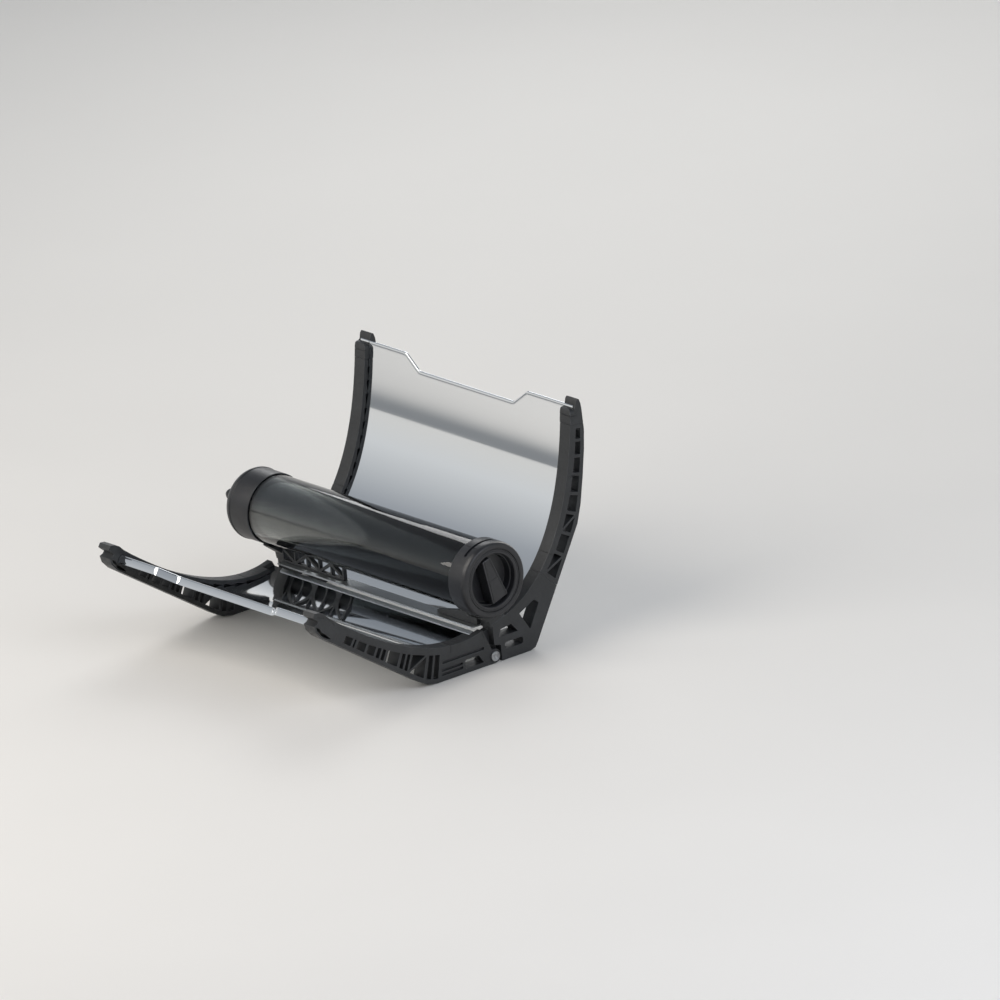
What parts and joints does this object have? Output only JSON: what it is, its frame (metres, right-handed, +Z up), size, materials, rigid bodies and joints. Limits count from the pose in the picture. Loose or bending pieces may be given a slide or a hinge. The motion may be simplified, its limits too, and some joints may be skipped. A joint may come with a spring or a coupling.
{
  "type": "solar oven",
  "caption": "Folding parabolic-trough solar oven: mirror reflectors on truss ribs, an evacuated glass cooking tube resting in saddles, and a slide-out tray with a capped plug.",
  "frame": {"origin": "on the ground, in the middle of the opened object's footprint", "axes": "+X along the cooking tube towards its capped mouth, +Y towards the tall back reflector, +Z up"},
  "size_m": [0.5416, 0.4556, 0.3071],
  "materials": {
    "moulded_nylon": "moulded, fine texture",
    "cap_plastic": "moulded, satin",
    "mirror_sheet": "bright rolled reflector sheet",
    "aluminium_strip": "mill finish",
    "borosilicate_glass": "clear, polished",
    "absorber_coating": "dark selective coating under glass",
    "stainless_steel": "brushed",
    "silicone": "matte",
    "rubber_pad": "matte",
    "plug_core": "matte"
  },
  "bodies": {
    "stand": {"bracket_near": "moulded_nylon", "bracket_far": "moulded_nylon", "back_rib_near": "moulded_nylon", "back_rib_far": "moulded_nylon", "back_tip_near": "moulded_nylon", "back_tip_far": "moulded_nylon", "back_reflector": "mirror_sheet", "spine_strip": "aluminium_strip", "spine_arm_near": "moulded_nylon", "spine_arm_far": "moulded_nylon", "saddle_pad_near": "rubber_pad", "saddle_pad_far": "rubber_pad", "hinge_pin_near": "stainless_steel", "hinge_pin_far": "stainless_steel"},
    "front_wing": {"front_rib_near": "moulded_nylon", "front_rib_far": "moulded_nylon", "front_tip_near": "moulded_nylon", "front_tip_far": "moulded_nylon", "front_reflector": "mirror_sheet"},
    "tube_unit": {"outer_glass_tube": "borosilicate_glass", "absorber_tube": "absorber_coating", "mouth_seal_ring": "borosilicate_glass", "getter_spring": "stainless_steel", "collar": "cap_plastic", "far_end_cup": "cap_plastic"},
    "tray_unit": {"end_cap": "cap_plastic", "cap_handle": "cap_plastic", "cap_gasket": "silicone", "insulating_plug": "plug_core", "plug_wiper_seal": "silicone", "tray": "stainless_steel", "tray_rod_front": "stainless_steel", "tray_rod_back": "stainless_steel"}
  },
  "joints": [
    {"name": "front_wing_fold", "type": "hinge", "parent": "stand", "child": "front_wing", "pos_m": [0.0332, 0.05423, 0.0095], "axis": [1, 0, 0], "range_deg": [-18, 0]},
    {"name": "tube_lift", "type": "slide", "parent": "stand", "child": "tube_unit", "axis": [0, 0, 1], "range_m": [0, 0.15]},
    {"name": "tray_slide", "type": "slide", "parent": "tube_unit", "child": "tray_unit", "axis": [1, 0, 0], "range_m": [0, 0.43]}
  ]
}
